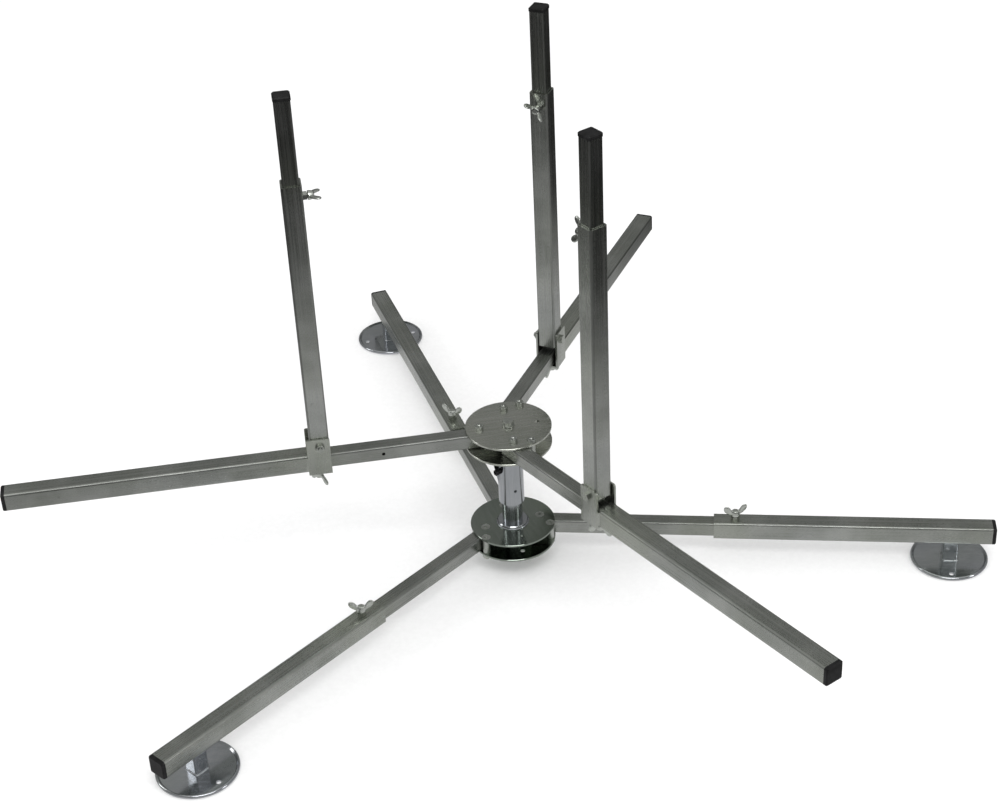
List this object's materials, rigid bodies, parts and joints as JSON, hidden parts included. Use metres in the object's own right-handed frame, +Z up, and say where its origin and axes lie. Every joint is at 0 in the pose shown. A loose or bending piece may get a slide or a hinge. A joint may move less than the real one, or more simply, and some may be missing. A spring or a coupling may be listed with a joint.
{
  "type": "pipe decoiler stand",
  "caption": "Free-standing turntable of square steel tube that pays out coiled pipe: a turning head with folding telescopic arms and posts on a folding telescopic base.",
  "frame": {"origin": "on the axis that the head turns about, in the underside of the lower hub's bottom plate, which is the centre of the pillar tube's open lower mouth", "axes": "+Z up along the turning axis, +X to the right and +Y away from the side that the picture was taken from; the ground is at z = -0.0306 m"},
  "size_m": [1.2732, 1.145, 0.7012],
  "materials": {
    "outer_tube": "zinc-plated",
    "inner_tube": "zinc-plated",
    "bracket": "zinc-plated",
    "hub_plate": "zinc-plated, satin",
    "pillar": "bright zinc-plated",
    "foot": "zinc-plated, satin",
    "hardware": "bright zinc-plated",
    "wing_screw": "bright zinc-plated casting",
    "black_cap": "moulded",
    "black_screw": "black oxide",
    "bush": "natural nylon"
  },
  "bodies": {
    "base": {"lower_hub_bottom_plate": "hub_plate", "lower_hub_top_plate": "hub_plate", "lower_hub_spacers": "hardware", "lower_hub_fasteners": "hardware", "shaft": "pillar", "shaft_plug": "pillar", "thrust_washer": "hardware", "centre_bolt": "hardware", "leg_3_inner_tube": "inner_tube"},
    "head": {"upper_hub_bottom_plate": "hub_plate", "upper_hub_top_plate": "hub_plate", "upper_hub_spacers": "hardware", "upper_hub_fasteners": "hardware", "turning_sleeve": "pillar", "sleeve_bushes": "bush", "arm_1_inner_tube": "inner_tube"},
    "brake": {"brake_screw": "black_screw"},
    "leg_1_inner": {"leg_1_inner_tube": "inner_tube"},
    "leg_1_outer": {"leg_1_outer_tube": "outer_tube", "leg_1_foot": "foot", "leg_1_end_cap": "black_cap"},
    "leg_1_screw": {"leg_1_wing_screw": "wing_screw"},
    "leg_2_inner": {"leg_2_inner_tube": "inner_tube"},
    "leg_2_outer": {"leg_2_outer_tube": "outer_tube", "leg_2_foot": "foot", "leg_2_end_cap": "black_cap"},
    "leg_2_screw": {"leg_2_wing_screw": "wing_screw"},
    "leg_3_outer": {"leg_3_outer_tube": "outer_tube", "leg_3_foot": "foot", "leg_3_end_cap": "black_cap"},
    "leg_3_screw": {"leg_3_wing_screw": "wing_screw"},
    "arm_1_outer": {"arm_1_outer_tube": "outer_tube", "arm_1_bracket": "bracket", "arm_1_bracket_bolt": "hardware", "arm_1_end_cap": "black_cap"},
    "arm_1_screw": {"arm_1_wing_screw": "wing_screw"},
    "post_1": {"post_1_outer_tube": "outer_tube"},
    "post_1_inner": {"post_1_inner_tube": "inner_tube", "post_1_end_cap": "black_cap"},
    "post_1_screw": {"post_1_wing_screw": "wing_screw"},
    "arm_2_inner": {"arm_2_inner_tube": "inner_tube"},
    "arm_2_outer": {"arm_2_outer_tube": "outer_tube", "arm_2_bracket": "bracket", "arm_2_bracket_bolt": "hardware", "arm_2_end_cap": "black_cap"},
    "arm_2_screw": {"arm_2_wing_screw": "wing_screw"},
    "post_2": {"post_2_outer_tube": "outer_tube"},
    "post_2_inner": {"post_2_inner_tube": "inner_tube", "post_2_end_cap": "black_cap"},
    "post_2_screw": {"post_2_wing_screw": "wing_screw"},
    "arm_3_inner": {"arm_3_inner_tube": "inner_tube"},
    "arm_3_outer": {"arm_3_outer_tube": "outer_tube", "arm_3_bracket": "bracket", "arm_3_bracket_bolt": "hardware", "arm_3_end_cap": "black_cap"},
    "arm_3_screw": {"arm_3_wing_screw": "wing_screw"},
    "post_3": {"post_3_outer_tube": "outer_tube"},
    "post_3_inner": {"post_3_inner_tube": "inner_tube", "post_3_end_cap": "black_cap"},
    "post_3_screw": {"post_3_wing_screw": "wing_screw"}
  },
  "joints": [
    {"name": "head_spin", "type": "hinge", "parent": "base", "child": "head", "pos_m": [0, 0, 0.1525], "axis": [0, 0, 1], "continuous": true},
    {"name": "brake_screw_turn", "type": "hinge", "parent": "head", "child": "brake", "pos_m": [0, 0, 0.115], "axis": [-0.7986, -0.6018, 0], "continuous": true},
    {"name": "leg_1_fold", "type": "hinge", "parent": "base", "child": "leg_1_inner", "pos_m": [-0.03634, -0.0111, 0.0133], "axis": [0, 0, 1], "range_deg": [-112, 2.1]},
    {"name": "leg_1_slide", "type": "slide", "parent": "leg_1_inner", "child": "leg_1_outer", "axis": [-0.6835, -0.7299, 0], "range_m": [-0.15, 0.07]},
    {"name": "leg_1_screw_turn", "type": "hinge", "parent": "leg_1_outer", "child": "leg_1_screw", "pos_m": [-0.19565, -0.18121, 0.0258], "axis": [0, 0, 1], "continuous": true},
    {"name": "leg_2_fold", "type": "hinge", "parent": "base", "child": "leg_2_inner", "pos_m": [0.03634, 0.0111, 0.0133], "axis": [0, 0, 1], "range_deg": [-8, 106]},
    {"name": "leg_2_slide", "type": "slide", "parent": "leg_2_inner", "child": "leg_2_outer", "axis": [0.9927, -0.1205, 0], "range_m": [-0.17, 0.07]},
    {"name": "leg_2_screw_turn", "type": "hinge", "parent": "leg_2_outer", "child": "leg_2_screw", "pos_m": [0.29371, -0.02014, 0.0258], "axis": [0, 0, 1], "continuous": true},
    {"name": "leg_3_slide", "type": "slide", "parent": "base", "child": "leg_3_outer", "axis": [-0.292, 0.9564, 0], "range_m": [-0.17, 0.07]},
    {"name": "leg_3_screw_turn", "type": "hinge", "parent": "leg_3_outer", "child": "leg_3_screw", "pos_m": [-0.07827, 0.25632, 0.0258], "axis": [0, 0, 1], "continuous": true},
    {"name": "arm_1_slide", "type": "slide", "parent": "head", "child": "arm_1_outer", "axis": [-0.9906, -0.1368, 0], "range_m": [-0.165, 0.07]},
    {"name": "arm_1_screw_turn", "type": "hinge", "parent": "arm_1_outer", "child": "arm_1_screw", "pos_m": [-0.24567, -0.03392, 0.1508], "axis": [0, 0, -1], "continuous": true},
    {"name": "post_1_fold", "type": "hinge", "parent": "arm_1_outer", "child": "post_1", "pos_m": [-0.24171, -0.03337, 0.1913], "axis": [0.1368, -0.9906, 0], "range_deg": [0, 90]},
    {"name": "post_1_slide", "type": "slide", "parent": "post_1", "child": "post_1_inner", "axis": [0, 0, 1], "range_m": [-0.105, 0.09]},
    {"name": "post_1_screw_turn", "type": "hinge", "parent": "post_1", "child": "post_1_screw", "pos_m": [-0.22933, -0.03166, 0.5391], "axis": [0.9906, 0.1368, 0], "continuous": true},
    {"name": "arm_2_fold", "type": "hinge", "parent": "head", "child": "arm_2_inner", "pos_m": [-0.0052, 0.03764, 0.1658], "axis": [0, 0, 1], "range_deg": [-0.4, 111]},
    {"name": "arm_2_slide", "type": "slide", "parent": "arm_2_inner", "child": "arm_2_outer", "axis": [0.4026, 0.9154, 0], "range_m": [-0.105, 0.07]},
    {"name": "arm_2_screw_turn", "type": "hinge", "parent": "arm_2_outer", "child": "arm_2_screw", "pos_m": [0.06511, 0.1975, 0.1508], "axis": [0, 0, -1], "continuous": true},
    {"name": "post_2_fold", "type": "hinge", "parent": "arm_2_outer", "child": "post_2", "pos_m": [0.0635, 0.19384, 0.1913], "axis": [-0.9154, 0.4026, 0], "range_deg": [0, 90]},
    {"name": "post_2_slide", "type": "slide", "parent": "post_2", "child": "post_2_inner", "axis": [0, 0, 1], "range_m": [-0.105, 0.09]},
    {"name": "post_2_screw_turn", "type": "hinge", "parent": "post_2", "child": "post_2_screw", "pos_m": [0.05847, 0.1824, 0.5391], "axis": [-0.4026, -0.9154, 0], "continuous": true},
    {"name": "arm_3_fold", "type": "hinge", "parent": "head", "child": "arm_3_inner", "pos_m": [0.0052, -0.03764, 0.1658], "axis": [0, 0, 1], "range_deg": [-108, 3.9]},
    {"name": "arm_3_slide", "type": "slide", "parent": "arm_3_inner", "child": "arm_3_outer", "axis": [0.5858, -0.8105, 0], "range_m": [-0.1, 0.07]},
    {"name": "arm_3_screw_turn", "type": "hinge", "parent": "arm_3_outer", "child": "arm_3_screw", "pos_m": [0.10563, -0.17659, 0.1508], "axis": [0, 0, -1], "continuous": true},
    {"name": "post_3_fold", "type": "hinge", "parent": "arm_3_outer", "child": "post_3", "pos_m": [0.10329, -0.17335, 0.1913], "axis": [0.8105, 0.5858, 0], "range_deg": [0, 90]},
    {"name": "post_3_slide", "type": "slide", "parent": "post_3", "child": "post_3_inner", "axis": [0, 0, 1], "range_m": [-0.105, 0.09]},
    {"name": "post_3_screw_turn", "type": "hinge", "parent": "post_3", "child": "post_3_screw", "pos_m": [0.09597, -0.16322, 0.5391], "axis": [-0.5858, 0.8105, 0], "continuous": true}
  ]
}
